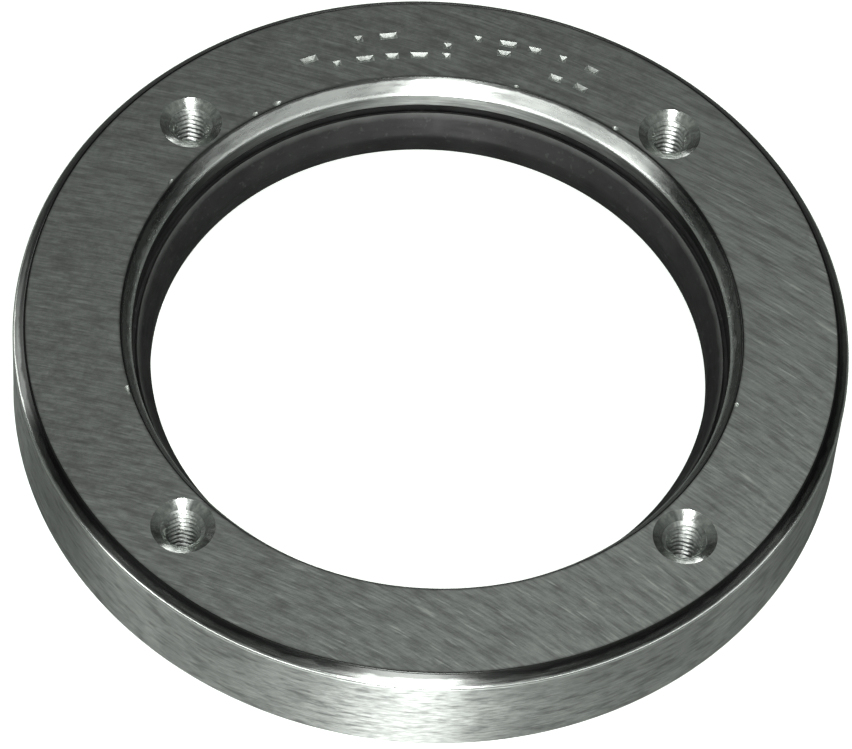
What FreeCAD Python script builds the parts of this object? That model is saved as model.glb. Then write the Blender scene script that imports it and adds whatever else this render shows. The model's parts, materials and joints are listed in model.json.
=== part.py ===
import FreeCAD, Part
import os
import re
import Sketcher

# Toilet flange: a thick turned steel ring with countersunk tapped holes on a bolt circle,
# and a metal-cased rubber lip seal pressed into a seat cut from the underside of its bore.
# The origin is the centre of the underside. +Z points up, towards the toilet.

SHEET = "Sizes"
PARTS_FOLDER = "parts"

# The driving dimensions, in millimetres and degrees.
DIMENSIONS = {
    # steel ring
    "ring_diameter": 184.15,
    "ring_thickness": 25.4,
    "rim_chamfer": 2.5,
    "base_break": 0.8,
    # bore of the ring, from its top face's inner edge inwards and down
    "face_width": 23.675,
    "mouth_bevel_width": 2.4,
    "mouth_bevel_depth": 4.1,
    "land_height": 3.3,
    "seat_step": 3.0,
    # holes drilled for a 3/8-16 thread
    "mouth_to_bolts": 7.8,
    "hole_count": 4,
    "first_hole_angle": 45,
    "tap_drill_diameter": 7.94,
    "sink_width": 3.03,
    "back_sink_width": 1.13,
    "sink_angle": 120,
    # pressed steel case of the seal
    "case_wall": 1.2,
    "case_recess": 5.0,
    "case_flange_width": 2.0,
    "case_break": 0.5,
    # rubber lip of the seal, from the ring's land inwards and down
    "lip_entry_drop": 3.3,
    "lip_entry_step": 2.55,
    "lip_taper_drop": 3.2,
    "lip_taper_step": 1.75,
    "lip_land_height": 5.0,
    "lip_tip_wall": 1.6,
    "lip_root_wall": 2.4,
    "heel_thickness": 2.2,
    "heel_fillet": 0.8,
    "tip_fillet": 0.4,
}

# Radii and heights above the underside that follow from the driving dimensions.
DERIVED = {
    "ring_radius": "ring_diameter / 2",
    "mouth_radius": "ring_radius - face_width",
    "land_radius": "mouth_radius - mouth_bevel_width",
    "seat_radius": "land_radius + seat_step",
    "bolt_radius": "mouth_radius + mouth_to_bolts",
    "drill_radius": "tap_drill_diameter / 2",
    "sink_radius": "drill_radius + sink_width",
    "back_sink_radius": "drill_radius + back_sink_width",
    "sink_slope": "tan(sink_angle / 2 * 1deg)",
    "sink_depth": "sink_width / sink_slope",
    "back_sink_depth": "back_sink_width / sink_slope",
    "bevel_end": "ring_thickness - mouth_bevel_depth",
    "shoulder": "bevel_end - land_height",
    "case_under": "shoulder - case_wall",
    "case_inner_radius": "seat_radius - case_wall",
    "case_flange_radius": "seat_radius - case_flange_width",
    "lip_entry": "shoulder - lip_entry_drop",
    "lip_entry_radius": "land_radius - lip_entry_step",
    "lip_land_top": "lip_entry - lip_taper_drop",
    "lip_radius": "lip_entry_radius - lip_taper_step",
    "lip_tip": "lip_land_top - lip_land_height",
    "lip_tip_radius": "lip_radius + lip_tip_wall",
    "lip_root_radius": "lip_entry_radius + lip_root_wall",
    "heel_under": "case_under - heel_thickness",
}

# How close a circle has to be to its expected radius and height to be the same edge.
EDGE_TOLERANCE = 1e-4


def make_sheet(doc):
    """The spreadsheet: driving dimensions first, then the lengths that follow from them."""
    sheet = doc.addObject("Spreadsheet::Sheet", SHEET)
    cells = [(name, str(number)) for name, number in DIMENSIONS.items()]
    cells += [(name, "=" + formula) for name, formula in DERIVED.items()]
    for row, (name, content) in enumerate(cells, start=1):
        sheet.set(f"A{row}", name)
        sheet.set(f"B{row}", content)
        sheet.setAlias(f"B{row}", name)
    doc.recompute()
    return sheet


def in_sheet(formula):
    """The formula with each size name written as a reference to the spreadsheet."""
    return re.sub(r"[a-z][a-z_]+", lambda match: f"{SHEET}.{match.group()}", formula)


def origin_feature(body, role):
    """The body's own origin plane or axis with this role."""
    return next(item for item in body.Origin.OriginFeatures if item.Role == role)


def make_body(doc, node):
    """An empty body whose name and label are the node's name."""
    body = doc.addObject("PartDesign::Body", node)
    body.Label = node
    return body


def half_section(body, name, corners):
    """A closed outline in the XZ plane through (radius, height) corners given as formulas."""
    sheet = body.Document.getObject(SHEET)
    sketch = body.newObject("Sketcher::SketchObject", name)
    sketch.AttachmentSupport = [(origin_feature(body, "XZ_Plane"), "")]
    sketch.MapMode = "FlatFace"
    points = []
    for radius, height in corners:
        points.append(FreeCAD.Vector(sheet.evalExpression(radius), sheet.evalExpression(height), 0))
    count = len(points)
    for index in range(count):
        sketch.addGeometry(Part.LineSegment(points[index], points[(index + 1) % count]), False)
    for index in range(count):
        sketch.addConstraint(Sketcher.Constraint("Coincident", index, 2, (index + 1) % count, 1))
    for index, (radius, height) in enumerate(corners):
        across = Sketcher.Constraint("DistanceX", -1, 1, index, 1, points[index].x)
        number = sketch.addConstraint(across)
        sketch.setExpression(f"Constraints[{number}]", in_sheet(radius))
        if height == "0":
            sketch.addConstraint(Sketcher.Constraint("PointOnObject", index, 1, -1))
        else:
            up = Sketcher.Constraint("DistanceY", -1, 1, index, 1, points[index].y)
            number = sketch.addConstraint(up)
            sketch.setExpression(f"Constraints[{number}]", in_sheet(height))
    return sketch


def turn(body, name, corners):
    """The solid that the half section makes when it is turned about the ring's axis."""
    sketch = half_section(body, name + "_section", corners)
    turned = body.newObject("PartDesign::Revolution", name)
    turned.Profile = sketch
    turned.ReferenceAxis = (sketch, ["V_Axis"])
    turned.Angle = 360
    body.Document.recompute()
    return turned


def circle_edges(shape, circles):
    """Names of the shape's circular edges about Z with these (radius, height) pairs."""
    names = []
    for index, edge in enumerate(shape.Edges, start=1):
        if not isinstance(edge.Curve, Part.Circle):
            continue
        for radius, height in circles:
            same_radius = abs(edge.Curve.Radius - radius) < EDGE_TOLERANCE
            same_height = abs(edge.Curve.Center.z - height) < EDGE_TOLERANCE
            if same_radius and same_height:
                names.append(f"Edge{index}")
    return names


def round_edges(body, name, base, circles, size):
    """A fillet of the named size on circular edges, given as pairs of size names."""
    sheet = body.Document.getObject(SHEET)
    places = [(sheet.get(radius), sheet.get(height)) for radius, height in circles]
    rounded = body.newObject("PartDesign::Fillet", name)
    rounded.Base = (base, circle_edges(base.Shape, places))
    rounded.setExpression("Radius", in_sheet(size))
    body.Document.recompute()
    return rounded


def make_flange_ring(doc):
    """The turned steel ring: bevelled bore, seal seat from below, countersunk tapped holes."""
    body = make_body(doc, "flange_ring")
    turn(body, "ring_blank", [
        ("seat_radius + base_break", "0"),
        ("ring_radius - base_break", "0"),
        ("ring_radius", "base_break"),
        ("ring_radius", "ring_thickness - rim_chamfer"),
        ("ring_radius - rim_chamfer", "ring_thickness"),
        ("mouth_radius", "ring_thickness"),
        ("land_radius", "bevel_end"),
        ("land_radius", "shoulder"),
        ("seat_radius", "shoulder"),
        ("seat_radius", "base_break"),
    ])
    section = half_section(body, "hole_section", [
        ("bolt_radius", "0"),
        ("bolt_radius + back_sink_radius", "0"),
        ("bolt_radius + drill_radius", "back_sink_depth"),
        ("bolt_radius + drill_radius", "ring_thickness - sink_depth"),
        ("bolt_radius + sink_radius", "ring_thickness"),
        ("bolt_radius", "ring_thickness"),
    ])
    closing_edge = section.Geometry[-1]
    hole_axis = Part.LineSegment(closing_edge.EndPoint, closing_edge.StartPoint)
    axis_index = section.addGeometry(hole_axis, True)
    section.addConstraint(Sketcher.Constraint("Coincident", axis_index, 1, 0, 1))
    section.addConstraint(Sketcher.Constraint("Coincident", axis_index, 2, axis_index - 1, 1))
    hole = body.newObject("PartDesign::Groove", "tapped_hole")
    hole.Profile = section
    hole.ReferenceAxis = (section, ["Axis0"])
    hole.Angle = 360
    doc.recompute()
    circle = body.newObject("PartDesign::PolarPattern", "hole_circle")
    circle.Originals = [hole]
    circle.Axis = (origin_feature(body, "Z_Axis"), [""])
    circle.Angle = 360
    circle.setExpression("Occurrences", in_sheet("hole_count"))
    body.Tip = circle
    body.setExpression("Placement.Rotation.Angle", in_sheet("first_hole_angle"))
    doc.recompute()
    return body


def make_seal_case(doc):
    """The pressed steel case that stiffens the seal and grips the ring's seat."""
    body = make_body(doc, "seal_case")
    turn(body, "case_shell", [
        ("case_inner_radius", "case_recess"),
        ("seat_radius - case_break", "case_recess"),
        ("seat_radius", "case_recess + case_break"),
        ("seat_radius", "shoulder"),
        ("case_flange_radius", "shoulder"),
        ("case_flange_radius", "case_under"),
        ("case_inner_radius", "case_under"),
    ])
    return body


def make_bore_seal(doc):
    """The rubber moulded to the case: a lead-in slope, a heel and a lip that hangs free."""
    body = make_body(doc, "bore_seal")
    moulding = turn(body, "seal_moulding", [
        ("case_flange_radius", "shoulder"),
        ("land_radius", "shoulder"),
        ("lip_entry_radius", "lip_entry"),
        ("lip_radius", "lip_land_top"),
        ("lip_radius", "lip_tip"),
        ("lip_tip_radius", "lip_tip"),
        ("lip_root_radius", "heel_under"),
        ("case_inner_radius", "heel_under"),
        ("case_inner_radius", "case_under"),
        ("case_flange_radius", "case_under"),
    ])
    heel = round_edges(body, "heel_round", moulding, [("lip_root_radius", "heel_under")], "heel_fillet")
    tip_circles = [("lip_radius", "lip_tip"), ("lip_tip_radius", "lip_tip")]
    round_edges(body, "tip_round", heel, tip_circles, "tip_fillet")
    return body


def check(doc, bodies):
    """Stop if any object failed to compute or a sub-part isn't one valid solid."""
    for item in doc.Objects:
        if "Invalid" in item.State or "Error" in item.State:
            raise RuntimeError(f"{item.Name} did not compute: {item.State}")
    for body in bodies:
        shape = body.Shape
        if shape.isNull() or not shape.isValid() or len(shape.Solids) != 1:
            raise RuntimeError(f"{body.Label} is not one valid solid")


def write(bodies):
    """One STEP file for each sub-part, named after its label."""
    os.makedirs(PARTS_FOLDER, exist_ok=True)
    for body in bodies:
        body.Shape.exportStep(os.path.join(PARTS_FOLDER, body.Label + ".step"))
        print(f"{body.Label}: {body.Shape.Volume:.1f} mm3")


def main():
    doc = FreeCAD.newDocument("toilet_flange")
    make_sheet(doc)
    bodies = [make_flange_ring(doc), make_seal_case(doc), make_bore_seal(doc)]
    doc.recompute()
    check(doc, bodies)
    write(bodies)


main()
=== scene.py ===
import json
import math
import random
from collections import namedtuple

import bmesh
import bpy
from mathutils import Matrix, Vector


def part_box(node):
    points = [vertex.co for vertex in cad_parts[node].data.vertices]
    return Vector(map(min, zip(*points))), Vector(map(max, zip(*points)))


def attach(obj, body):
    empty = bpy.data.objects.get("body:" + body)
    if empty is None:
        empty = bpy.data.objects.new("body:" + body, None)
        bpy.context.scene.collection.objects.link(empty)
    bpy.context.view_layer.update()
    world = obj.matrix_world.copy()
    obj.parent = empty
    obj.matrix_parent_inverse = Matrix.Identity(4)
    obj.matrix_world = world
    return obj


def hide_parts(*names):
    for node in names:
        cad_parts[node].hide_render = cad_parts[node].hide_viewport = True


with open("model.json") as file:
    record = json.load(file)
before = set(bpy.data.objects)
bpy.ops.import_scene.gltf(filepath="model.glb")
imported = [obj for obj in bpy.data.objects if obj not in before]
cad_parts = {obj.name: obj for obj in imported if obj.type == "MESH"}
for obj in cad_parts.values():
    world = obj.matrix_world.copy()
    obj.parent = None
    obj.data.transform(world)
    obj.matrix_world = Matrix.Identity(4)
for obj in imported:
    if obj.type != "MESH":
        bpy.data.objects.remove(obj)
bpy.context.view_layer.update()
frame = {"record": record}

# ---------------------------------------------------------------- sizes
MM = 0.001
mounts = {mount["name"]: mount["dims"] for mount in frame["record"]["mounts"]}
_, ring_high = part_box("flange_ring")
case_low, case_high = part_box("seal_case")
seal_low, seal_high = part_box("bore_seal")

# The rim's wall is kept just inside the CAD box.
INSIDE = 0.002 * MM
RING_RADIUS = ring_high[0] - INSIDE
TOP = ring_high[2]
SEAT_RADIUS = case_high[0]
SHOULDER = case_high[2]
CASE_BOTTOM = case_low[2]
CASE_WALL = case_high[0] - seal_high[0]
LIP_TIP = seal_low[2]
LIP_RADIUS = mounts["pipe_seal"]["r_mm"] * MM
BOLT_RADIUS = mounts["stud_holes"]["pcd_mm"] / 2 * MM
HOLE_COUNT = mounts["stud_holes"]["count"]
DRILL_RADIUS = mounts["stud_holes"]["hole_r_mm"] * MM
FIRST_HOLE = math.radians(45)
HOLE_STEP = math.tau / HOLE_COUNT

# The ring's bore and edges. The bore is widest at its mouth, and narrows down a bevel to
# the land above the shoulder that the seal sits under.
MOUTH_RADIUS = 68.4 * MM
LAND_RADIUS = 66.0 * MM
BEVEL_END = TOP - 4.1 * MM
RIM_CHAMFER = 2.5 * MM
BASE_BREAK = 0.8 * MM

# The countersinks, and the slope of their sides.
SINK_RADIUS = 7.0 * MM
BACK_SINK_RADIUS = 5.1 * MM
SINK_SLOPE = math.tan(math.radians(60))

# The 3/8-16 thread in the holes. A flank's slope and start shape its crest and root.
INCH = 25.4 * MM
THREAD_PITCH = INCH / 16
THREAD_RADIUS = 9.525 / 2 * MM
FLANK_SLOPE = 1.45
FLANK_START = 0.2

# The rubber seal: flange, groove, crest, lead-in slope, free lip and heel.
CASE_FLANGE_RADIUS = SEAT_RADIUS - 2.0 * MM
LIP_ENTRY_RADIUS = LAND_RADIUS - 2.55 * MM
LIP_ENTRY = SHOULDER - 3.3 * MM
LIP_LAND_TOP = LIP_ENTRY - 3.2 * MM
GROOVE_DEPTH = 2.4 * MM
GROOVE_WIDTH = 0.9 * MM
CREST_RADIUS = LAND_RADIUS - 1.3 * MM
CREST_HEIGHT = SHOULDER - 1.0 * MM
LIP_TIP_WALL = 1.6 * MM
LIP_ROOT_RADIUS = LIP_ENTRY_RADIUS + 2.4 * MM
HEEL_UNDER = SHOULDER - CASE_WALL - 2.2 * MM

# Tool grooves in the rim's wall: a slow wave, the feed's step and a fine chatter.
TOOL_ROWS = 56
SLOW_WAVE = 0.05 * MM
SLOW_KEPT = 0.75
FEED_STEP = 0.018 * MM
CHATTER = 0.012 * MM

# The punched row on the top face. A mark's foot is its bottom width as a share of its top.
MARK_STATIONS = 11
MARK_FIRST, MARK_LAST = math.radians(111), math.radians(63)
MARK_RADIUS = 77.4 * MM
MARK_LINE_GAP = 2.9 * MM
MARK_LENGTHS = (1.8 * MM, 1.8 * MM, 3.0 * MM, 4.0 * MM)
MARK_WIDTH = 1.6 * MM
MARK_DEPTH = 0.6 * MM
MARK_PAST = 0.3 * MM
MARK_FOOT = 0.12
MARK_SLIDE_MM = 0.4
MARK_TILT = 0.1

# The nicks in the mouth's edge: degrees round the ring, size in mm, and length to width.
NICK_ANGLES = (147, 124, 120, 74, 52, -15, -165)
NICK_RADIUS = MOUTH_RADIUS + 0.7 * MM
NICK_SIZES_MM = (0.35, 0.6)
NICK_STRETCH = (1.4, 2.6)
NICK_WANDER = 1.5

# How finely the meshes are made. GUARD is the slack left beside a rounding, and between
# one finish and the next.
RING_STEPS = 360
HOLE_STEPS = 56
ROWS_PER_THREAD = 8
SINK_ROWS = 16
BACK_SINK_ROWS = 6
HOLE_PAST = 1.0 * MM
GUARD = 0.15 * MM
MERGE = 1e-6
SHARP_ANGLE = math.radians(24)


# ---------------------------------------------------------------- mesh tools
def outline(corners):
    """A closed edge loop in the XZ plane. Each corner is (radius, height, rounding)."""
    bm = bmesh.new()
    verts = []
    rounded = []
    for index, (radius, height, rounding) in enumerate(corners):
        here = Vector((radius, 0, height))
        if not rounding:
            verts.append(bm.verts.new(here))
            continue
        for step in (-1, 0, 1):
            other = corners[(index + step) % len(corners)]
            away = Vector((other[0], 0, other[1])) - here
            reach = rounding + GUARD if step else 0
            verts.append(bm.verts.new(here + away.normalized() * reach))
            if not step:
                rounded.append((verts[-1], rounding))
    bm.faces.new(verts)
    for vert, rounding in rounded:
        bmesh.ops.bevel(bm, geom=[vert], offset=rounding, offset_type="OFFSET", segments=4,
                        profile=0.5, affect="VERTICES", material=-1)
    bmesh.ops.delete(bm, geom=bm.faces[:], context="FACES_ONLY")
    return bm


def spin_round(bm, steps=RING_STEPS):
    """Turns the outline about Z into a closed skin with outward normals."""
    bmesh.ops.spin(bm, geom=bm.verts[:] + bm.edges[:], cent=(0, 0, 0), axis=(0, 0, 1),
                   dvec=(0, 0, 0), angle=math.tau, steps=steps,
                   use_merge=True, use_duplicate=False)
    bmesh.ops.remove_doubles(bm, verts=bm.verts[:], dist=MERGE)
    bmesh.ops.recalc_face_normals(bm, faces=bm.faces[:])


def make_object(name, bm):
    """A new object from the bmesh, smooth except across sharp edges."""
    mesh = bpy.data.meshes.new(name)
    bm.to_mesh(mesh)
    bm.free()
    piece = bpy.data.objects.new(name, mesh)
    bpy.context.scene.collection.objects.link(piece)
    smooth(piece)
    return piece


def smooth(piece):
    """Smooth shading that stops at edges sharper than SHARP_ANGLE."""
    piece.data.shade_smooth()
    piece.data.set_sharp_from_angle(angle=SHARP_ANGLE)


def joined(solids):
    """One bmesh that holds all the solids."""
    whole = bmesh.new()
    for solid in solids:
        part = bpy.data.meshes.new("part")
        solid.to_mesh(part)
        solid.free()
        whole.from_mesh(part)
        bpy.data.meshes.remove(part)
    return whole


def carve(piece, cutters):
    """Cuts the closed solids of the cutters object out of the piece and removes them."""
    modifier = piece.modifiers.new("carve", "BOOLEAN")
    modifier.operation = "DIFFERENCE"
    modifier.solver = "EXACT"
    modifier.object = cutters
    view = bpy.context.evaluated_depsgraph_get()
    carved = bpy.data.meshes.new_from_object(piece.evaluated_get(view))
    piece.modifiers.clear()
    old = piece.data
    piece.data = carved
    bpy.data.meshes.remove(old)
    bpy.data.objects.remove(cutters)
    smooth(piece)


# ---------------------------------------------------------------- flange ring
def turned_wall(bm):
    """Gives the rim's wall the shallow uneven grooves that a lathe tool leaves."""
    chance = random.Random(11)
    rim = [edge for edge in bm.edges
           if all(abs(vert.co.x - RING_RADIUS) < 1e-7 for vert in edge.verts)]
    wall = max(rim, key=lambda edge: edge.calc_length())
    grooves = bmesh.ops.subdivide_edges(bm, edges=[wall], cuts=TOOL_ROWS)
    rows = [item for item in grooves["geom_inner"] if isinstance(item, bmesh.types.BMVert)]
    rows.sort(key=lambda vert: vert.co.z)
    slow = 0.0
    for row, vert in enumerate(rows):
        slow = SLOW_KEPT * slow + (1 - SLOW_KEPT) * chance.uniform(0, SLOW_WAVE)
        quick = FEED_STEP * (row % 2)
        vert.co.x -= slow + quick + chance.uniform(0, CHATTER)


def cut_thread(bm):
    """Pushes the hole's skin out into a screw thread, wherever the thread is the wider."""
    for vert in bm.verts:
        reach = math.hypot(vert.co.x, vert.co.y)
        if not reach or not 0 < vert.co.z < TOP:
            continue
        turn = math.atan2(vert.co.y, vert.co.x) / math.tau
        phase = (vert.co.z / THREAD_PITCH - turn) % 1
        flank = min(max(abs(2 * phase - 1) * FLANK_SLOPE - FLANK_START, 0), 1)
        thread = DRILL_RADIUS + (THREAD_RADIUS - DRILL_RADIUS) * flank
        if thread > reach:
            vert.co.x *= thread / reach
            vert.co.y *= thread / reach


def hole_cutter(angle):
    """A threaded hole with a countersink at each end, as a closed solid."""
    sink_depth = (SINK_RADIUS - DRILL_RADIUS) / SINK_SLOPE
    back_depth = (BACK_SINK_RADIUS - DRILL_RADIUS) / SINK_SLOPE
    bm = bmesh.new()
    rows = [
        (0, -HOLE_PAST),
        (BACK_SINK_RADIUS, -HOLE_PAST),
        (BACK_SINK_RADIUS, 0),
        (DRILL_RADIUS, back_depth),
        (DRILL_RADIUS, TOP - sink_depth),
        (SINK_RADIUS, TOP),
        (SINK_RADIUS, TOP + HOLE_PAST),
        (0, TOP + HOLE_PAST),
    ]
    verts = [bm.verts.new((radius, 0, height)) for radius, height in rows]
    edges = [bm.edges.new(pair) for pair in zip(verts, verts[1:])]
    back_sink, shaft, sink = edges[2:5]
    shaft_rows = int((TOP - sink_depth - back_depth) / THREAD_PITCH * ROWS_PER_THREAD)
    for edge, cuts in ((back_sink, BACK_SINK_ROWS), (shaft, shaft_rows), (sink, SINK_ROWS)):
        bmesh.ops.subdivide_edges(bm, edges=[edge], cuts=cuts)
    spin_round(bm, steps=HOLE_STEPS)
    cut_thread(bm)
    place = Matrix.Rotation(angle, 4, "Z") @ Matrix.Translation((BOLT_RADIUS, 0, 0))
    bmesh.ops.transform(bm, matrix=place, verts=bm.verts[:])
    return bm


def punch_mark(radius, angle, length, tilt):
    """One chisel-shaped furrow in the top face, as a closed solid with tapered sides."""
    flare = 1 + MARK_PAST / MARK_DEPTH
    bm = bmesh.new()
    bmesh.ops.create_cube(bm, size=1)
    for vert in bm.verts:
        low = vert.co.z < 0
        vert.co.x *= length - MARK_WIDTH if low else length + MARK_WIDTH * (flare - 1)
        vert.co.y *= MARK_WIDTH * (MARK_FOOT if low else flare)
        vert.co.z = TOP - MARK_DEPTH if low else TOP + MARK_PAST
    place = (Matrix.Rotation(angle, 4, "Z") @ Matrix.Translation((radius, 0, 0))
             @ Matrix.Rotation(tilt + math.pi / 2, 4, "Z"))
    bmesh.ops.transform(bm, matrix=place, verts=bm.verts[:])
    return bm


def punch_marks():
    """A generic row of punched dots and dashes along the far side of the top face."""
    chance = random.Random(8)
    marks = []
    for station in range(MARK_STATIONS):
        angle = MARK_FIRST + (MARK_LAST - MARK_FIRST) * station / (MARK_STATIONS - 1)
        lines = chance.sample((-1, 0, 1), chance.choice((1, 2, 2)))
        for line in sorted(lines):
            radius = MARK_RADIUS + line * MARK_LINE_GAP
            length = chance.choice(MARK_LENGTHS)
            slide = chance.uniform(-MARK_SLIDE_MM, MARK_SLIDE_MM) * MM / radius
            tilt = chance.uniform(-MARK_TILT, MARK_TILT)
            marks.append(punch_mark(radius, angle + slide, length, tilt))
    return marks


def edge_nicks():
    """Small dents knocked into the mouth's upper edge."""
    chance = random.Random(21)
    nicks = []
    for degrees in NICK_ANGLES:
        bm = bmesh.new()
        bmesh.ops.create_icosphere(bm, subdivisions=2, radius=1)
        size = chance.uniform(*NICK_SIZES_MM) * MM
        stretch = Matrix.Diagonal((size, size * chance.uniform(*NICK_STRETCH), size, 1))
        angle = math.radians(degrees + chance.uniform(-NICK_WANDER, NICK_WANDER))
        place = (Matrix.Rotation(angle, 4, "Z") @ Matrix.Translation((NICK_RADIUS, 0, TOP))
                 @ stretch)
        bmesh.ops.transform(bm, matrix=place, verts=bm.verts[:])
        nicks.append(bm)
    return nicks


RING_FINISHES = ("face", "rim", "chamfer", "bevel", "land", "sink", "thread", "mark", "under")

# How level a face is, from 1 where it is flat to 0 where it is upright: the least of a flat
# face, and the most of the rim's wall and of the land.
FLAT = 0.999
RIM_LEVEL = 0.3
LAND_LEVEL = 0.2


def ring_finish(centre, normal):
    """Which of the ring's finishes a face has, from where it is and how it tilts."""
    radius = math.hypot(centre.x, centre.y)
    angle = math.atan2(centre.y, centre.x) - FIRST_HOLE
    off = angle - round(angle / HOLE_STEP) * HOLE_STEP
    from_hole = math.hypot(radius * math.cos(off) - BOLT_RADIUS, radius * math.sin(off))
    level = abs(normal.z)
    flat = level > FLAT
    if from_hole < SINK_RADIUS + GUARD and not flat:
        return "sink" if from_hole > THREAD_RADIUS + GUARD else "thread"
    if flat and centre.z > TOP - GUARD:
        return "face"
    if radius > RING_RADIUS - GUARD and level < RIM_LEVEL:
        return "rim"
    if centre.z < SHOULDER or (radius < SEAT_RADIUS and flat):
        return "under"
    if MOUTH_RADIUS + GUARD * 2 < radius < RING_RADIUS - RIM_CHAMFER - GUARD * 2:
        return "mark"
    if radius < LAND_RADIUS + GUARD and level < LAND_LEVEL:
        return "land"
    return "bevel" if radius < BOLT_RADIUS else "chamfer"


def make_ring():
    """The turned steel ring, with its threaded holes, punched marks and nicks cut in."""
    section = outline([
        (SEAT_RADIUS + BASE_BREAK, 0, 0.1 * MM),
        (RING_RADIUS - BASE_BREAK, 0, 0.1 * MM),
        (RING_RADIUS, BASE_BREAK, 0.15 * MM),
        (RING_RADIUS, TOP - RIM_CHAMFER, 0.35 * MM),
        (RING_RADIUS - RIM_CHAMFER, TOP, 0.3 * MM),
        (MOUTH_RADIUS, TOP, 0.25 * MM),
        (LAND_RADIUS, BEVEL_END, 0.25 * MM),
        (LAND_RADIUS, SHOULDER, 0.15 * MM),
        (SEAT_RADIUS, SHOULDER, 0),
        (SEAT_RADIUS, BASE_BREAK, 0.1 * MM),
    ])
    turned_wall(section)
    spin_round(section)
    ring = make_object("ring_body", section)
    holes = [hole_cutter(FIRST_HOLE + HOLE_STEP * index) for index in range(HOLE_COUNT)]
    carve(ring, make_object("cutters", joined(holes + punch_marks() + edge_nicks())))
    ring.data.materials.clear()
    for finish in RING_FINISHES:
        ring.data.materials.append(materials[finish])
    for face in ring.data.polygons:
        face.material_index = RING_FINISHES.index(ring_finish(face.center, face.normal))
    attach(ring, "root")
    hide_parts("flange_ring")


# ---------------------------------------------------------------- seal
def make_case():
    """The pressed steel case, with the soft corners of drawn sheet."""
    section = outline([
        (SEAT_RADIUS - CASE_WALL, CASE_BOTTOM, 0.15 * MM),
        (SEAT_RADIUS, CASE_BOTTOM, 0.5 * MM),
        (SEAT_RADIUS, SHOULDER, 0.3 * MM),
        (CASE_FLANGE_RADIUS, SHOULDER, 0.1 * MM),
        (CASE_FLANGE_RADIUS, SHOULDER - CASE_WALL, 0.1 * MM),
        (SEAT_RADIUS - CASE_WALL, SHOULDER - CASE_WALL, 0.15 * MM),
    ])
    spin_round(section)
    case = make_object("pressed_case", section)
    case.data.materials.append(materials["case"])
    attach(case, "root")
    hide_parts("seal_case")


def make_seal():
    """The moulded rubber seal, from its groove and crest down to the free lip's tip."""
    section = outline([
        (CASE_FLANGE_RADIUS, SHOULDER, 0),
        (LAND_RADIUS, SHOULDER, 0),
        (LAND_RADIUS, SHOULDER - GROOVE_DEPTH, 0.2 * MM),
        (LAND_RADIUS - GROOVE_WIDTH, SHOULDER - GROOVE_DEPTH, 0.2 * MM),
        (CREST_RADIUS, CREST_HEIGHT, 0.3 * MM),
        (LIP_ENTRY_RADIUS, LIP_ENTRY, 0.3 * MM),
        (LIP_RADIUS, LIP_LAND_TOP, 0.6 * MM),
        (LIP_RADIUS, LIP_TIP, 0.4 * MM),
        (LIP_RADIUS + LIP_TIP_WALL, LIP_TIP, 0.4 * MM),
        (LIP_ROOT_RADIUS, HEEL_UNDER, 0.5 * MM),
        (SEAT_RADIUS - CASE_WALL, HEEL_UNDER, 0),
        (SEAT_RADIUS - CASE_WALL, SHOULDER - CASE_WALL, 0),
        (CASE_FLANGE_RADIUS, SHOULDER - CASE_WALL, 0),
    ])
    spin_round(section)
    seal = make_object("rubber_seal", section)
    seal.data.materials.append(materials["rubber"])
    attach(seal, "root")
    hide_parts("bore_seal")


# ---------------------------------------------------------------- material tools
def grey(level):
    """A grey of this level, very slightly green."""
    return (level, level * 1.05, level, 1.0)


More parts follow.
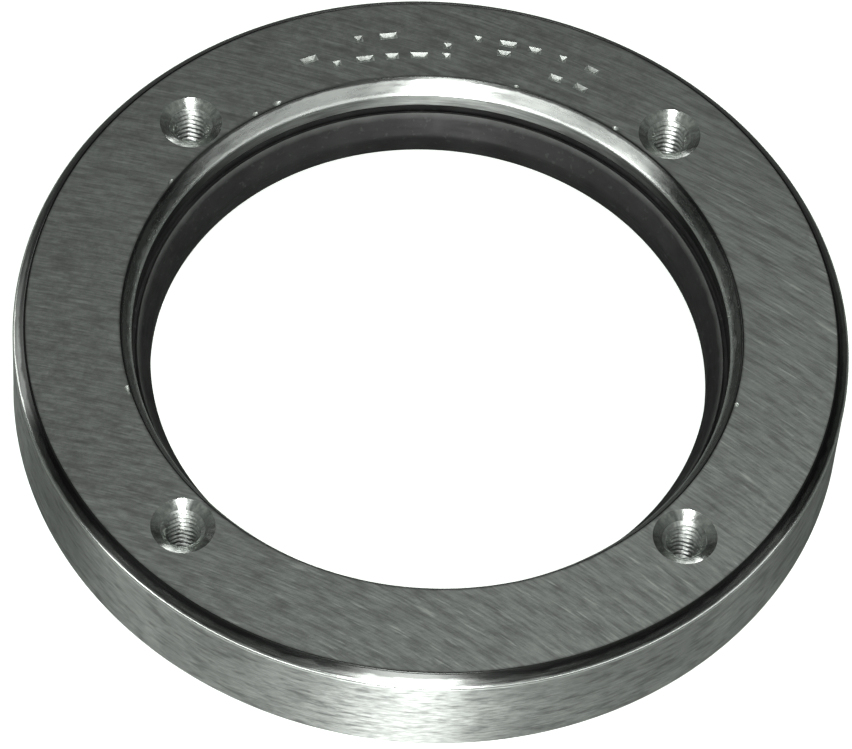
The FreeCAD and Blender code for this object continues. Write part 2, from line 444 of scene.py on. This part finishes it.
class Graph:
    """Adds nodes to one tree. An input is a number, a colour or another node's output."""

    def __init__(self, tree):
        self.tree = tree

    def add(self, kind, inputs=None, **settings):
        """One node of this kind, with its settings made and its inputs set or linked."""
        node = self.tree.nodes.new(kind)
        for name, value in settings.items():
            setattr(node, name, value)
        for key, value in (inputs or {}).items():
            self.feed(value, node.inputs[key])
        return node

    def feed(self, value, socket):
        """Links another node's output to the socket, or sets the socket's own value."""
        if isinstance(value, bpy.types.NodeSocket):
            self.tree.links.new(value, socket)
        else:
            socket.default_value = value

    def use(self, shared, inputs):
        """Places a shared node group with these inputs and returns its outputs."""
        return self.add("ShaderNodeGroup", inputs, node_tree=shared).outputs

    def math(self, operation, first, second=0.0, clamp=False):
        node = self.add("ShaderNodeMath", {0: first, 1: second}, operation=operation)
        node.use_clamp = clamp
        return node.outputs[0]

    def vector(self, operation, inputs, output="Vector"):
        return self.add("ShaderNodeVectorMath", inputs, operation=operation).outputs[output]

    def split(self, place):
        """The X, Y and Z outputs of a place."""
        return self.add("ShaderNodeSeparateXYZ", {0: place}).outputs

    def flattened(self, place):
        """A place's X, Y and Z, its part in the XY plane, and that part's length."""
        parts = self.split(place)
        flat = self.add("ShaderNodeCombineXYZ", {0: parts[0], 1: parts[1]}).outputs[0]
        return parts, flat, self.vector("LENGTH", {0: flat}, "Value")

    def noise(self, place, scale, detail, roughness=0.5, dimensions="3D"):
        node = self.add("ShaderNodeTexNoise",
                        {"Vector": place, "Scale": scale, "Detail": detail,
                         "Roughness": roughness}, noise_dimensions=dimensions)
        return node.outputs[0]

    def spread(self, value, low, high, to_low=0.0, to_high=1.0):
        """Maps value from low..high to to_low..to_high, held at both ends."""
        node = self.add("ShaderNodeMapRange", {"Value": value, "From Min": low, "From Max": high,
                                               "To Min": to_low, "To Max": to_high})
        return node.outputs["Result"]

    def blend(self, amount, first, second):
        """The first colour where amount is 0, and the second where it is 1."""
        node = self.add("ShaderNodeMix", {0: amount, 6: first, 7: second}, data_type="RGBA")
        return node.outputs[2]

    def toned(self, base, mask, share, level):
        """Takes the base colour towards a grey where the mask is high, by up to share."""
        return self.blend(self.math("MULTIPLY", mask, share), base, grey(level))

    def lined(self, base, lines, low, high, share, level):
        """Darkens the base colour, by up to share, where the lines fall from high to low."""
        return self.blend(self.spread(lines, low, high, share, 0.0), base, grey(level))

    def bump(self, shader, height, distance, strength=1.0, under=None):
        """Feeds a height into the shader's normal, over another normal if one is given."""
        normal = self.add("ShaderNodeBump", {"Height": height, "Distance": distance,
                                             "Strength": strength}).outputs[0]
        if under is not None:
            self.feed(under, normal.node.inputs["Normal"])
        self.feed(normal, shader.inputs["Normal"])
        return normal


def group(name, inputs, outputs):
    """An empty shader node group. Returns its graph, its inputs and its outputs' sockets.

    Each input is (kind, value to start from), and each output is a value.
    """
    tree = bpy.data.node_groups.new(name, "ShaderNodeTree")
    kinds = {"value": "NodeSocketFloat", "vector": "NodeSocketVector"}
    for socket, (kind, start) in inputs.items():
        made = tree.interface.new_socket(socket, in_out="INPUT", socket_type=kinds[kind])
        if start is not None:
            made.default_value = start
    for socket in outputs:
        tree.interface.new_socket(socket, in_out="OUTPUT", socket_type=kinds["value"])
    graph = Graph(tree)
    return graph, graph.add("NodeGroupInput").outputs, graph.add("NodeGroupOutput").inputs


def make_turning():
    """Lines that run round the part's axis, as a lathe tool leaves them."""
    graph, given, out = group("turning_lines", {
        "Vector": ("vector", None), "Across": ("value", 2500.0), "Along": ("value", 30.0),
    }, ["Lines"])
    parts, flat, reach = graph.flattened(given["Vector"])
    around = graph.vector("NORMALIZE", {0: flat})
    ends = graph.split(graph.vector("SCALE", {0: around, "Scale": given["Along"]}))
    across = graph.math("MULTIPLY", graph.math("SUBTRACT", parts[2], reach), given["Across"])
    place = graph.add("ShaderNodeCombineXYZ", {0: ends[0], 1: ends[1], 2: across}).outputs[0]
    graph.feed(graph.noise(place, 1.0, detail=3.0, roughness=0.6), out["Lines"])
    return graph.tree


def make_grinding():
    """Long arcs about a far centre, as a wide grinding wheel leaves across a flat face."""
    mean_reach = 0.32
    graph, given, out = group("grinding_arcs", {
        "Vector": ("vector", None), "Centre": ("vector", None),
        "Across": ("value", 1500.0), "Along": ("value", 60.0), "Detail": ("value", 3.0),
    }, ["Arcs"])
    away = graph.vector("SUBTRACT", {0: given["Vector"], 1: given["Centre"]})
    parts, _, reach = graph.flattened(away)
    swing = graph.math("ARCTAN2", parts[1], parts[0])
    across = graph.math("MULTIPLY", reach, given["Across"])
    along = graph.math("MULTIPLY", graph.math("MULTIPLY", swing, mean_reach), given["Along"])
    place = graph.add("ShaderNodeCombineXYZ", {0: across, 1: along}).outputs[0]
    arcs = graph.noise(place, 1.0, given["Detail"], roughness=0.55, dimensions="2D")
    graph.feed(arcs, out["Arcs"])
    return graph.tree


def make_blotches():
    """Uneven tone over a surface: broad cloudy patches and small specks."""
    specks_finer = 9.0
    graph, given, out = group("blotches", {
        "Vector": ("vector", None), "Size": ("value", 60.0),
    }, ["Cloud", "Specks"])
    cloud = graph.noise(given["Vector"], given["Size"], detail=5.0, roughness=0.6)
    fine = graph.math("MULTIPLY", given["Size"], specks_finer)
    specks = graph.noise(given["Vector"], fine, detail=2.0)
    graph.feed(graph.spread(cloud, 0.3, 0.7), out["Cloud"])
    graph.feed(graph.spread(specks, 0.62, 0.72), out["Specks"])
    return graph.tree


def make_edge_band():
    """A ragged band along a round edge, given by the edge's radius and height, where painted
    shade and painted highlights go.
    """
    graph, given, out = group("edge_band", {
        "Vector": ("vector", None), "Radius": ("value", 0.09), "Height": ("value", 0.02),
        "Width": ("value", 0.0008), "Ragged": ("value", 0.6),
    }, ["Worn"])
    parts, _, reach = graph.flattened(given["Vector"])
    side = graph.math("POWER", graph.math("SUBTRACT", reach, given["Radius"]), 2.0)
    rise = graph.math("POWER", graph.math("SUBTRACT", parts[2], given["Height"]), 2.0)
    off = graph.math("SQRT", graph.math("ADD", side, rise))
    tears = graph.noise(given["Vector"], 260.0, detail=4.0)
    torn = graph.math("MULTIPLY", graph.math("SUBTRACT", tears, 0.5), given["Ragged"])
    share = graph.math("DIVIDE", off, given["Width"])
    band_mask = graph.math("SUBTRACT", 1.0, graph.math("ADD", share, torn), clamp=True)
    graph.feed(band_mask, out["Worn"])
    return graph.tree


turning = make_turning()
grinding = make_grinding()
blotches = make_blotches()
edge_band = make_edge_band()


def material(name):
    """A new material. Returns it with its graph, its shader and the Object coordinates."""
    made = bpy.data.materials.new(name)
    made.use_nodes = True
    graph = Graph(made.node_tree)
    shader = made.node_tree.nodes["Principled BSDF"]
    place = graph.add("ShaderNodeTexCoord").outputs["Object"]
    return made, graph, shader, place


# ---------------------------------------------------------------- materials
GRIND_CENTRE = (-0.135, -0.290, 0.0)


def ground_face():
    """The top face: ground flat, with arcs right across it and a dull uneven tone that is
    lighter towards the near right, and painted shade in a thin dark line along each of its two
    edges.
    """
    made, graph, shader, place = material("ground_face")
    ground = {"Vector": place, "Centre": GRIND_CENTRE}
    fine = graph.use(grinding, {**ground, "Across": 2200.0, "Along": 110.0,
                                  "Detail": 4.0})["Arcs"]
    medium = graph.use(grinding, {**ground, "Across": 620.0, "Along": 120.0,
                                    "Detail": 5.0})["Arcs"]
    deep = graph.use(grinding, {**ground, "Across": 1000.0, "Along": 90.0,
                                  "Detail": 2.0})["Arcs"]
    tone = graph.use(blotches, {"Vector": place, "Size": 40.0})
    mottle = graph.use(blotches, {"Vector": place, "Size": 650.0})["Cloud"]
    parts = graph.split(place)
    # Lighter towards the near right of the face, where the bright scratches also show more.
    toward_near_right = graph.spread(graph.math("SUBTRACT", parts[0], parts[1]), -50 * MM, 120 * MM)
    base = graph.blend(tone["Cloud"], grey(0.22), grey(0.33))
    base = graph.toned(base, toward_near_right, share=0.72, level=0.60)
    base = graph.toned(base, mottle, share=0.85, level=0.42)
    base = graph.lined(base, fine, 0.35, 0.65, share=0.42, level=0.17)
    base = graph.lined(base, medium, 0.30, 0.58, share=0.50, level=0.14)
    scratch = graph.math("MULTIPLY", graph.spread(deep, 0.62, 0.78),
                         graph.spread(toward_near_right, 0.0, 1.0, to_low=0.25))
    base = graph.toned(base, scratch, share=0.7, level=0.72)
    base = graph.toned(base, tone["Specks"], share=0.2, level=0.14)
    # Painted shade: a thin dark line along the mouth's top edge and along the chamfer's top
    # edge.
    for radius in (MOUTH_RADIUS, RING_RADIUS - RIM_CHAMFER):
        painted_edge_shade = graph.use(edge_band, {"Vector": place, "Radius": radius, "Height": TOP,
                                        "Width": 0.7 * MM, "Ragged": 0.9})["Worn"]
        base = graph.toned(base, painted_edge_shade, share=0.85, level=0.05)
    graph.feed(base, shader.inputs["Base Color"])
    graph.feed(graph.spread(fine, 0.3, 0.7, 0.40, 0.50), shader.inputs["Roughness"])
    shader.inputs["Metallic"].default_value = 1.0
    arcs = graph.bump(shader, fine, distance=0.02 * MM)
    grains = graph.bump(shader, mottle, distance=0.04 * MM, strength=0.8, under=arcs)
    graph.bump(shader, scratch, distance=0.02 * MM, strength=0.8, under=grains)
    return made


def hole_centred(graph, place):
    """The place measured from the axis of the nearest hole.

    The four holes mirror each other across X and Y, so the place is folded into one corner.
    """
    folded = graph.vector("ABSOLUTE", {0: place})
    offset = (BOLT_RADIUS * math.cos(FIRST_HOLE), BOLT_RADIUS * math.sin(FIRST_HOLE), 0.0)
    return graph.vector("SUBTRACT", {0: folded, 1: offset})


def to_the_sides(graph, place):
    """A mask that is 0 along the middle of the ring and 1 out to its left and right."""
    parts = graph.split(place)
    return graph.spread(graph.math("ABSOLUTE", parts[0]), 30 * MM, 58 * MM)


Band = namedtuple("Band", "radius height width level share sides")


def turned_steel(name, level, across, along, depth, rough, spread, bands=(), drilled=False):
    """Steel with turned lines, and with bands of painted shade and painted highlight along its
    edges.

    level is how bright the metal is. across and along are how finely the lines change over
    and along them, and depth is how deep they are. rough is the lowest and the highest
    roughness, and spread stretches a highlight across the lines. A drilled surface has its
    lines round the nearest hole. Each Band goes towards a grey of its own level, by up to
    its share, and one with sides set shows only to the left and right.
    """
    made, graph, shader, place = material(name)
    centred = hole_centred(graph, place) if drilled else place
    fine = graph.use(turning, {"Vector": centred, "Across": across, "Along": along})["Lines"]
    broad = graph.use(turning, {"Vector": centred, "Across": across / 4,
                                  "Along": along / 2})["Lines"]
    tone = graph.use(blotches, {"Vector": place, "Size": 70.0})
    base = graph.blend(tone["Cloud"], grey(level * 0.8), grey(level * 1.15))
    base = graph.lined(base, fine, 0.35, 0.6, share=0.5, level=level * 0.4)
    base = graph.lined(base, broad, 0.34, 0.5, share=0.6, level=level * 0.35)
    for band in bands:
        band_mask = graph.use(edge_band, {"Vector": place, "Radius": band.radius,
                                       "Height": band.height, "Width": band.width,
                                       "Ragged": 0.9})["Worn"]
        amount = graph.spread(band_mask, 0.0, 0.35, to_high=band.share)
        if band.sides:
            amount = graph.math("MULTIPLY", amount, to_the_sides(graph, place))
        base = graph.blend(amount, base, grey(band.level))
    graph.feed(base, shader.inputs["Base Color"])
    graph.feed(graph.spread(fine, 0.3, 0.7, *rough), shader.inputs["Roughness"])
    shader.inputs["Metallic"].default_value = 1.0
    shader.inputs["Anisotropic"].default_value = spread
    shader.inputs["Anisotropic Rotation"].default_value = 0.25
    lines = graph.bump(shader, fine, depth)
    graph.bump(shader, broad, depth * 3, strength=0.6, under=lines)
    return made


def moulded_rubber():
    """Black rubber with a dull bloom, faint mould lines and a painted highlight along its crest.
    """
    made, graph, shader, place = material("moulded_rubber")
    tone = graph.use(blotches, {"Vector": place, "Size": 90.0})
    lines = graph.use(turning, {"Vector": place, "Across": 1800.0, "Along": 12.0})["Lines"]
    base = graph.blend(tone["Cloud"], grey(0.010), grey(0.026))
    base = graph.toned(base, tone["Specks"], share=0.3, level=0.08)
    # Painted highlight: a lighter band along the seal's crest.
    painted_crest_highlight = graph.use(edge_band, {"Vector": place, "Radius": CREST_RADIUS - 0.4 * MM,
                                   "Height": CREST_HEIGHT, "Width": 1.6 * MM,
                                   "Ragged": 0.7})["Worn"]
    base = graph.toned(base, painted_crest_highlight, share=0.7, level=0.14)
    graph.feed(base, shader.inputs["Base Color"])
    graph.feed(graph.spread(lines, 0.3, 0.7, 0.42, 0.62), shader.inputs["Roughness"])
    shader.inputs["Specular IOR Level"].default_value = 0.38
    graph.bump(shader, lines, distance=0.04 * MM)
    return made


# Painted shade: a dark band down the chamfer from its top edge.
RIM_PAINTED_SHADE = Band(RING_RADIUS - RIM_CHAMFER, TOP, 1.8 * MM, level=0.04, share=0.9, sides=False)
# Painted highlight: a bright line along the corner between the chamfer and the rim's wall.
RIM_PAINTED_HIGHLIGHT = Band(RING_RADIUS, TOP - RIM_CHAMFER, 0.8 * MM, level=0.85, share=0.9, sides=False)
# Painted shade: the bevel darkened down from the mouth's edge, on the left and right only.
MOUTH_SIDES_PAINTED_SHADE = Band(MOUTH_RADIUS, TOP, 4.0 * MM, level=0.10, share=0.85, sides=True)
# Painted shade: a thin dark line along the mouth's edge.
MOUTH_EDGE_PAINTED_SHADE = Band(MOUTH_RADIUS, TOP, 0.9 * MM, level=0.05, share=0.9, sides=False)
# Painted highlight: a bright line where the bevel meets the land.
LAND_EDGE_PAINTED_HIGHLIGHT = Band(LAND_RADIUS, BEVEL_END, 1.1 * MM, level=0.85, share=0.8, sides=False)
# Painted shade: the land darkened on the left and right only.
LAND_SIDES_PAINTED_SHADE = Band(LAND_RADIUS, (BEVEL_END + SHOULDER) / 2, 5.0 * MM,
                  level=0.02, share=0.95, sides=True)

materials = {
    "face": ground_face(),
    "rim": turned_steel("turned_rim", level=0.58, across=2600.0, along=30.0,
                        depth=0.04 * MM, rough=(0.42, 0.52), spread=0.88, bands=[RIM_PAINTED_HIGHLIGHT]),
    "chamfer": turned_steel("cut_chamfer", level=0.22, across=1600.0, along=10.0,
                            depth=0.003 * MM, rough=(0.18, 0.26), spread=0.1,
                            bands=[RIM_PAINTED_SHADE, RIM_PAINTED_HIGHLIGHT]),
    "bevel": turned_steel("turned_bevel", level=0.55, across=2400.0, along=9.0,
                          depth=0.01 * MM, rough=(0.24, 0.32), spread=0.35,
                          bands=[MOUTH_SIDES_PAINTED_SHADE, MOUTH_EDGE_PAINTED_SHADE, LAND_EDGE_PAINTED_HIGHLIGHT]),
    "land": turned_steel("turned_land", level=0.62, across=2400.0, along=9.0,
                         depth=0.01 * MM, rough=(0.42, 0.50), spread=0.75, bands=[LAND_SIDES_PAINTED_SHADE]),
    "sink": turned_steel("drilled_sink", level=0.64, across=2200.0, along=6.0,
                         depth=0.01 * MM, rough=(0.17, 0.26), spread=0.0, drilled=True),
    "thread": turned_steel("cut_thread", level=0.68, across=2400.0, along=8.0,
                           depth=0.01 * MM, rough=(0.30, 0.38), spread=0.0, drilled=True),
    "mark": turned_steel("struck_marks", level=0.70, across=1500.0, along=60.0,
                         depth=0.01 * MM, rough=(0.50, 0.60), spread=0.0),
    "under": turned_steel("turned_underside", level=0.36, across=1800.0, along=14.0,
                          depth=0.03 * MM, rough=(0.34, 0.46), spread=0.5),
    "case": turned_steel("pressed_sheet", level=0.45, across=900.0, along=8.0,
                         depth=0.01 * MM, rough=(0.28, 0.40), spread=0.0),
    "rubber": moulded_rubber(),
}


# ---------------------------------------------------------------- studio
# The floor lies just under the ring, so that the two are not in one plane.
FLOOR_RADIUS = 6.0
FLOOR_DROP = 0.05 * MM

# Each softbox's name, its azimuth and elevation in degrees, its distance, width and height
# in metres, and its radiance. Azimuth 0 is the camera's side, and positive is to its right.
SOFTBOXES = (
    ("front_softbox", -3, 19, 0.9, 0.24, 0.60, 16.0),
    ("front_fill", -3, 6, 1.4, 1.7, 0.30, 1.0),
    ("key_above_camera", -2, 65, 0.9, 0.12, 0.20, 34.0),
    ("back_strip", 176, 4, 1.0, 0.42, 0.12, 5.5),
    ("left_strip_near", -38, 5, 1.0, 0.60, 0.18, 3.0),
    ("left_strip_far", -65, 5, 1.0, 0.30, 0.18, 5.6),
    ("left_strip_back", -122, 3, 1.0, 0.60, 0.26, 2.0),
    ("right_strip", 55, 5, 1.0, 1.1, 0.18, 1.9),
    ("overhead_panel", 150, 70, 1.2, 0.5, 0.4, 0.8),
)

# The camera, in degrees and metres, seen from the middle of the top face.
CAMERA_AZIMUTH, CAMERA_ELEVATION, CAMERA_ROLL = -4.63, 55.0, 5.11
CAMERA_DISTANCE = 1.2598
AIM_RIGHT, AIM_UP = -0.00144, -0.01092
FOCAL_LENGTH = 242.4


def bearing(azimuth, elevation):
    """The direction from the part at this azimuth and elevation, in radians."""
    level = math.cos(elevation)
    return Vector((math.sin(azimuth) * level, -math.cos(azimuth) * level, math.sin(elevation)))


def add_floor():
    """A wide plain pale floor that throws only a little light back up onto the metal."""
    bm = bmesh.new()
    bmesh.ops.create_circle(bm, cap_ends=True, radius=FLOOR_RADIUS, segments=96)
    bmesh.ops.translate(bm, verts=bm.verts[:], vec=(0, 0, -FLOOR_DROP))
    floor = make_object("studio_floor", bm)
    made, graph, shader, _ = material("floor_paper")
    seen = graph.add("ShaderNodeLightPath").outputs["Is Camera Ray"]
    graph.feed(graph.blend(seen, grey(0.15), grey(0.80)), shader.inputs["Base Color"])
    graph.feed(graph.blend(seen, grey(0.02), grey(0.80)), shader.inputs["Emission Color"])
    shader.inputs["Emission Strength"].default_value = 1.0
    shader.inputs["Roughness"].default_value = 0.9
    floor.data.materials.append(made)


def add_softbox(name, azimuth, elevation, distance, width, height, radiance):
    """A soft light that faces the part, as bright as its radiance makes a panel of its size."""
    light = bpy.data.lights.new(name, "AREA")
    light.shape = "RECTANGLE"
    light.size = width
    light.size_y = height
    light.energy = radiance * math.pi * width * height
    lamp = bpy.data.objects.new(name, light)
    bpy.context.scene.collection.objects.link(lamp)
    toward = bearing(math.radians(azimuth), math.radians(elevation))
    lamp.location = Vector((0, 0, TOP)) + toward * distance
    lamp.rotation_euler = toward.to_track_quat("Z", "Y").to_euler()


def add_world():
    """A dim studio, paler overhead than at the horizon, that the camera sees as pale paper."""
    world = bpy.data.worlds.new("studio")
    bpy.context.scene.world = world
    world.use_nodes = True
    graph = Graph(world.node_tree)
    background = world.node_tree.nodes["Background"]
    rise = graph.split(graph.add("ShaderNodeTexCoord").outputs["Generated"])[2]
    dim = graph.blend(graph.spread(rise, 0.35, 0.8), grey(0.05), grey(0.24))
    seen = graph.add("ShaderNodeLightPath").outputs["Is Camera Ray"]
    graph.feed(graph.blend(seen, dim, grey(0.95)), background.inputs["Color"])


def add_camera():
    """The camera stands high on the near side and far off, slightly rolled."""
    azimuth, roll = math.radians(CAMERA_AZIMUTH), math.radians(CAMERA_ROLL)
    toward = bearing(azimuth, math.radians(CAMERA_ELEVATION))
    centre = Vector((0, 0, TOP))
    level = Vector((math.cos(azimuth), math.sin(azimuth), 0))
    upright = toward.cross(level)
    right = level * math.cos(roll) + upright * math.sin(roll)
    up = upright * math.cos(roll) - level * math.sin(roll)
    position = centre + toward * CAMERA_DISTANCE
    back = (position - (centre + right * AIM_RIGHT + up * AIM_UP)).normalized()
    right = up.cross(back).normalized()
    up = back.cross(right)
    lens = bpy.data.cameras.new("camera")
    lens.lens = FOCAL_LENGTH
    lens.clip_start = 0.01
    lens.clip_end = 50.0
    camera = bpy.data.objects.new("camera", lens)
    bpy.context.scene.collection.objects.link(camera)
    turned = Matrix((right, up, back)).transposed().to_4x4()
    camera.matrix_world = Matrix.Translation(position) @ turned
    bpy.context.scene.camera = camera


bpy.context.scene.view_settings.view_transform = "Standard"
make_ring()
make_case()
make_seal()
add_floor()
add_world()
for softbox in SOFTBOXES:
    add_softbox(*softbox)
add_camera()
